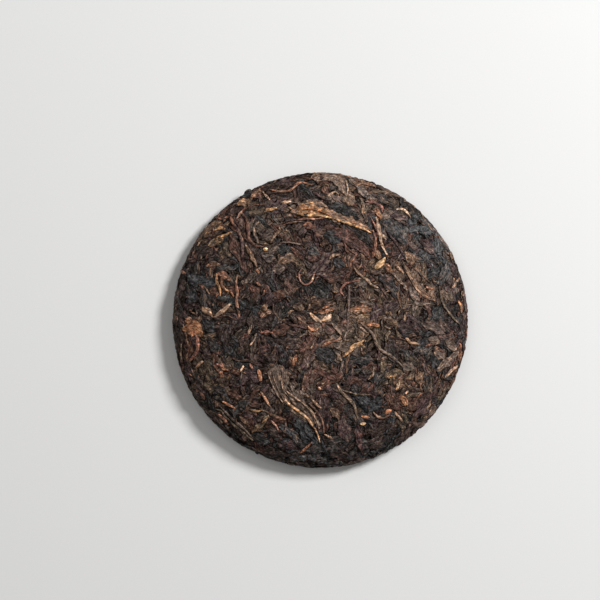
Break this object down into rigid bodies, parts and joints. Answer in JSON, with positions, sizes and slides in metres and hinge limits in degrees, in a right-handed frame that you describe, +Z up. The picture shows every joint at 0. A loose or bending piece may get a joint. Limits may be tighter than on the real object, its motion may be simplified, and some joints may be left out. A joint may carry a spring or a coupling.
{
  "type": "pu erh tea cake",
  "caption": "Round cake of pressed ripe pu erh tea leaves: low domed front, thin rounded rim, flat back with a central dimple.",
  "frame": {"origin": "under the middle of the cake, on the surface that it lies on", "axes": "+Z up, out of the domed front; +Y towards the edge of the front that is uppermost in the picture; +X to its right"},
  "size_m": [0.1982, 0.1996, 0.0255],
  "materials": {
    "pressed_tea": "matt, dry, with a faint sheen on the leaf backs"
  },
  "bodies": {
    "root": {"tea_cake": "pressed_tea"}
  },
  "joints": []
}
